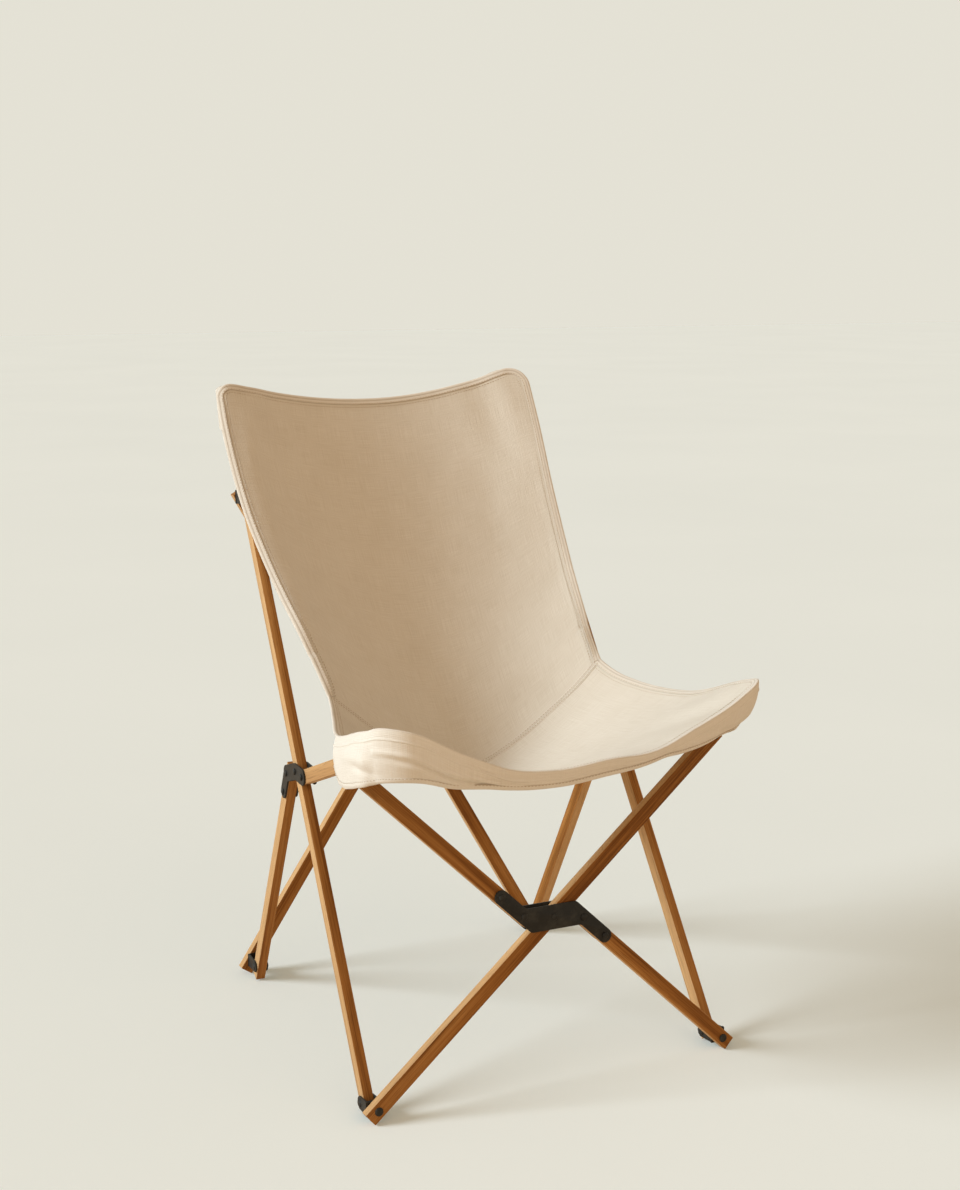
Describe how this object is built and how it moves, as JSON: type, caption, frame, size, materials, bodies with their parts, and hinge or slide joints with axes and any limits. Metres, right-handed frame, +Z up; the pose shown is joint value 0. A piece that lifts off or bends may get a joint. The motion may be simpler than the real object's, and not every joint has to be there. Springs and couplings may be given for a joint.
{
  "type": "folding butterfly sling chair",
  "caption": "Folding lounge chair of crossed wooden sticks with steel plates and corner clevises, carrying a slung canvas seat and back.",
  "frame": {"origin": "on the floor under the middle of the chair's bounding box", "axes": "+Z up, the chair faces -Y, +X to the right as the picture looks at its front"},
  "size_m": [0.576, 0.7712, 0.9182],
  "materials": {
    "oak": "oiled brown wood, satin",
    "steel": "matte black",
    "canvas": "natural cotton canvas"
  },
  "bodies": {
    "left_front_foot": {"left_front_foot": "steel"},
    "front_through": {"front_through_stick": "oak"},
    "front_split": {"front_lower_half": "oak", "front_upper_half": "oak", "front_plate_fore": "steel", "front_plate_aft": "steel", "front_rivet_1": "steel", "front_rivet_2": "steel", "front_rivet_3": "steel", "front_rivet_4": "steel", "front_pivot_rivet": "steel"},
    "right_front_foot": {"right_front_foot": "steel"},
    "left_seat_corner": {"left_seat_corner": "steel"},
    "right_seat_corner": {"right_seat_corner": "steel"},
    "left_long": {"left_long_stick": "oak", "sling_back": "canvas", "left_back_pocket": "canvas", "right_back_pocket": "canvas"},
    "right_long": {"right_long_stick": "oak"},
    "left_leg": {"left_back_leg": "oak", "left_plate_right": "steel", "left_plate_left": "steel", "left_leg_rivet_1": "steel", "left_leg_rivet_2": "steel", "left_pivot_rivet": "steel", "left_rail_rivet": "steel"},
    "right_leg": {"right_back_leg": "oak", "right_plate_right": "steel", "right_plate_left": "steel", "right_leg_rivet_1": "steel", "right_leg_rivet_2": "steel", "right_pivot_rivet": "steel", "right_rail_rivet": "steel"},
    "left_rail": {"left_seat_rail": "oak", "sling_seat": "canvas", "front_hem": "canvas"},
    "right_rail": {"right_seat_rail": "oak"},
    "left_back_foot": {"left_back_foot": "steel"},
    "right_back_foot": {"right_back_foot": "steel"},
    "left_back_top": {"left_back_top": "steel"},
    "right_back_top": {"right_back_top": "steel"},
    "back_split": {"back_lower_half": "oak", "back_upper_half": "oak", "back_plate_fore": "steel", "back_plate_aft": "steel", "back_rivet_1": "steel", "back_rivet_2": "steel", "back_rivet_3": "steel", "back_rivet_4": "steel", "back_pivot_rivet": "steel", "back_bolt_upper_top": "steel", "back_bolt_lower_foot": "steel"},
    "back_through": {"back_through_stick": "oak", "back_bolt_through_top": "steel"}
  },
  "joints": [
    {"name": "fold", "type": "hinge", "parent": "left_front_foot", "child": "front_through", "pos_m": [-0.262, -0.28187, 0.01793], "axis": [0, -0.9962, 0.0872], "range_deg": [0, 38], "deforming": ["sling_back", "sling_seat", "front_hem", "left_back_pocket", "right_back_pocket"]},
    {"name": "front_cross", "type": "hinge", "parent": "front_through", "child": "front_split", "pos_m": [0, -0.26305, 0.23311], "axis": [0, -0.9962, 0.0872], "range_deg": [-76, 0]},
    {"name": "right_front_foot_joint", "type": "hinge", "parent": "front_split", "child": "right_front_foot", "pos_m": [0.262, -0.28187, 0.01793], "axis": [0, -0.9962, 0.0872], "range_deg": [0, 38]},
    {"name": "left_seat_corner_joint", "type": "hinge", "parent": "front_split", "child": "left_seat_corner", "pos_m": [-0.262, -0.24422, 0.44829], "axis": [0, -0.9962, 0.0872], "range_deg": [0, 38]},
    {"name": "right_seat_corner_joint", "type": "hinge", "parent": "front_through", "child": "right_seat_corner", "pos_m": [0.262, -0.24422, 0.44829], "axis": [0, -0.9962, 0.0872], "range_deg": [-38, 0]},
    {"name": "left_long_joint", "type": "hinge", "parent": "left_front_foot", "child": "left_long", "pos_m": [-0.262, -0.248, 0.01497], "axis": [0.999, -0.045, 0.0039], "range_deg": [0, 24]},
    {"name": "left_leg_joint", "type": "hinge", "parent": "left_long", "child": "left_leg", "pos_m": [-0.25203, 0.00656, 0.39558], "axis": [0.999, -0.045, 0.0039], "range_deg": [-47.1, 0]},
    {"name": "left_rail_joint", "type": "hinge", "parent": "left_leg", "child": "left_rail", "pos_m": [-0.25339, -0.02356, 0.3952], "axis": [0.999, -0.045, 0.0039], "range_deg": [-53.5, 0]},
    {"name": "left_back_foot_joint", "type": "hinge", "parent": "left_leg", "child": "left_back_foot", "pos_m": [-0.24005, 0.24014, 0.02346], "axis": [0.999, -0.045, 0.0039], "range_deg": [0, 23.1]},
    {"name": "left_back_top_joint", "type": "hinge", "parent": "left_long", "child": "left_back_top", "pos_m": [-0.24272, 0.24444, 0.75126], "axis": [0.999, -0.045, 0.0039], "range_deg": [-24, 0]},
    {"name": "right_long_joint", "type": "hinge", "parent": "right_front_foot", "child": "right_long", "pos_m": [0.262, -0.248, 0.01497], "axis": [0.999, 0.045, -0.0039], "range_deg": [0, 24]},
    {"name": "right_leg_joint", "type": "hinge", "parent": "right_long", "child": "right_leg", "pos_m": [0.25203, 0.00656, 0.39558], "axis": [0.999, 0.045, -0.0039], "range_deg": [-47.1, 0]},
    {"name": "right_rail_joint", "type": "hinge", "parent": "right_leg", "child": "right_rail", "pos_m": [0.25339, -0.02356, 0.3952], "axis": [0.999, 0.045, -0.0039], "range_deg": [-53.5, 0]},
    {"name": "right_back_foot_joint", "type": "hinge", "parent": "right_leg", "child": "right_back_foot", "pos_m": [0.24005, 0.24014, 0.02346], "axis": [0.999, 0.045, -0.0039], "range_deg": [0, 23.1]},
    {"name": "right_back_top_joint", "type": "hinge", "parent": "right_long", "child": "right_back_top", "pos_m": [0.24272, 0.24444, 0.75126], "axis": [0.999, 0.045, -0.0039], "range_deg": [-24, 0]},
    {"name": "back_foot_bolt", "type": "hinge", "parent": "left_back_foot", "child": "back_through", "pos_m": [-0.24005, 0.27844, 0.02346], "axis": [0, -1, 0], "range_deg": [0, 23.8]},
    {"name": "back_cross", "type": "hinge", "parent": "back_through", "child": "back_split", "pos_m": [0, 0.27844, 0.38534], "axis": [0, -1, 0], "range_deg": [-47.6, 0]}
  ],
  "couplings": [
    {"joint": "front_cross", "follows": "fold", "ratio": -2},
    {"joint": "right_front_foot_joint", "follows": "fold", "ratio": 1},
    {"joint": "left_seat_corner_joint", "follows": "fold", "ratio": 1},
    {"joint": "right_seat_corner_joint", "follows": "fold", "ratio": -1},
    {"joint": "left_long_joint", "follows": "fold", "ratio": 0.63157},
    {"joint": "left_leg_joint", "follows": "fold", "ratio": -1.2395},
    {"joint": "left_rail_joint", "follows": "fold", "ratio": -1.4079},
    {"joint": "left_back_foot_joint", "follows": "fold", "ratio": 0.60789},
    {"joint": "left_back_top_joint", "follows": "fold", "ratio": -0.63157},
    {"joint": "right_long_joint", "follows": "fold", "ratio": 0.63157},
    {"joint": "right_leg_joint", "follows": "fold", "ratio": -1.2395},
    {"joint": "right_rail_joint", "follows": "fold", "ratio": -1.4079},
    {"joint": "right_back_foot_joint", "follows": "fold", "ratio": 0.60789},
    {"joint": "right_back_top_joint", "follows": "fold", "ratio": -0.63157},
    {"joint": "back_foot_bolt", "follows": "fold", "ratio": 0.62631},
    {"joint": "back_cross", "follows": "fold", "ratio": -1.2526}
  ]
}
